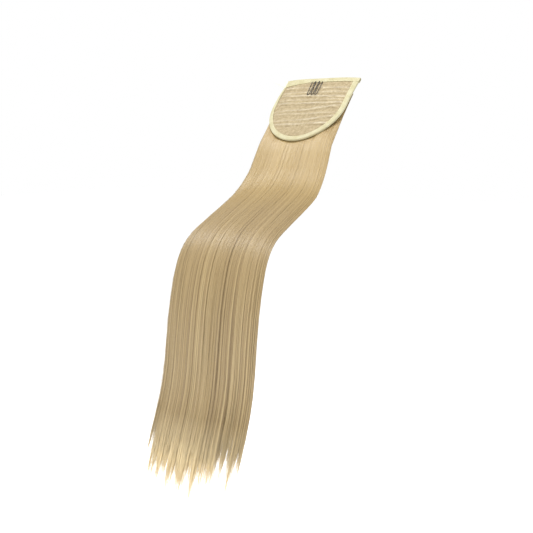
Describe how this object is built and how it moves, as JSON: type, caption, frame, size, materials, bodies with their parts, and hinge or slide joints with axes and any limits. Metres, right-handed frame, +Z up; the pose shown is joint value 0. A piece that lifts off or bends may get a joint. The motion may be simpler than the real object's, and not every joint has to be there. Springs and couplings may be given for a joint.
{
  "type": "ponytail hairpiece",
  "caption": "Long straight blonde hairpiece on a U-shaped net base with taped edges, a small wire comb and a corner tab, held as if draped over a low shelf.",
  "frame": {"origin": "on the inner face of the net base, on its centre line, behind the middle of the comb: where the piece sits on the wearer's head", "axes": "+Z up and along the hanging hair, +X across the base, and -Y the way the inner side of the base and the front of the hanging hair face"},
  "size_m": [0.155, 0.3269, 0.5094],
  "materials": {
    "net": "matt tan net",
    "tape": "matt cream woven tape",
    "tab": "off-white tape",
    "wire": "dark brown coated wire",
    "hair": "satin blonde fibre"
  },
  "bodies": {
    "root": {"cap_net": "net", "edge_binding": "tape", "top_binding": "tape", "corner_tab": "tab", "comb": "wire", "hair_fall": "hair"}
  },
  "joints": []
}
